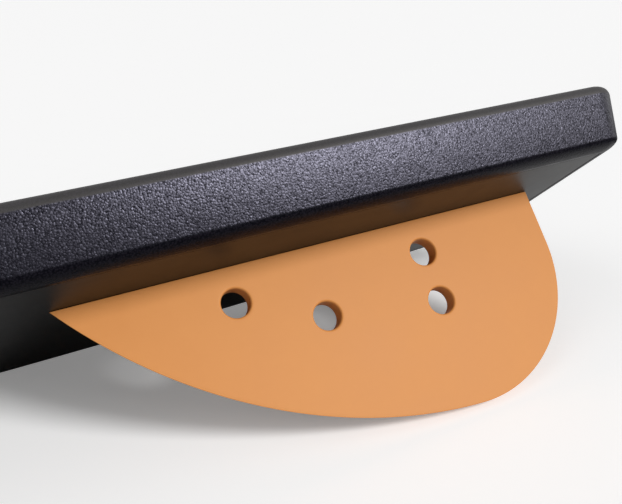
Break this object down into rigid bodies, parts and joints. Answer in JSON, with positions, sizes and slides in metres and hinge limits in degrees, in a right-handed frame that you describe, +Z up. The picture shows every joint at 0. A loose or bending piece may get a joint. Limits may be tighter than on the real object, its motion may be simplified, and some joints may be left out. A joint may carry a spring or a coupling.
{
  "type": "slant board",
  "caption": "Padded board with a bowed edge, leaning on that edge and on fin-shaped plug-in feet with holes, for standing and stretching on a slope.",
  "frame": {"origin": "on the floor, under the middle of the part's box", "axes": "+X along the straight edge, +Z up, +Y away from the raised straight edge towards the bowed edge that stands on the floor"},
  "size_m": [0.7972, 0.2016, 0.1553],
  "materials": {
    "leatherette": "fine pebble grain, semi-matt",
    "base_black": "smooth, semi-gloss, lightly scuffed",
    "foam": "open-cell foam",
    "plywood": "sanded birch plywood",
    "staple_steel": "bright wire",
    "socket_steel": "pressed, zinc plated",
    "screw_steel": "yellow zinc plated",
    "foot_orange": "satin, faintly mottled"
  },
  "bodies": {
    "board": {"cover": "leatherette", "base_sheet": "base_black", "top_foam": "foam", "edge_foam": "foam", "core_panel": "plywood", "cover_staples": "staple_steel", "right_outer_socket": "socket_steel", "right_inner_socket": "socket_steel", "left_inner_socket": "socket_steel", "left_outer_socket": "socket_steel", "right_socket_screws": "screw_steel", "left_socket_screws": "screw_steel"},
    "right_foot": {"right_foot": "foot_orange"},
    "left_foot": {"left_foot": "foot_orange"}
  },
  "joints": [
    {"name": "right_foot_pull", "type": "slide", "parent": "board", "child": "right_foot", "axis": [0, -0.6675, -0.7446], "range_m": [0, 0.016]},
    {"name": "left_foot_pull", "type": "slide", "parent": "board", "child": "left_foot", "axis": [0, -0.6675, -0.7446], "range_m": [0, 0.016]}
  ]
}
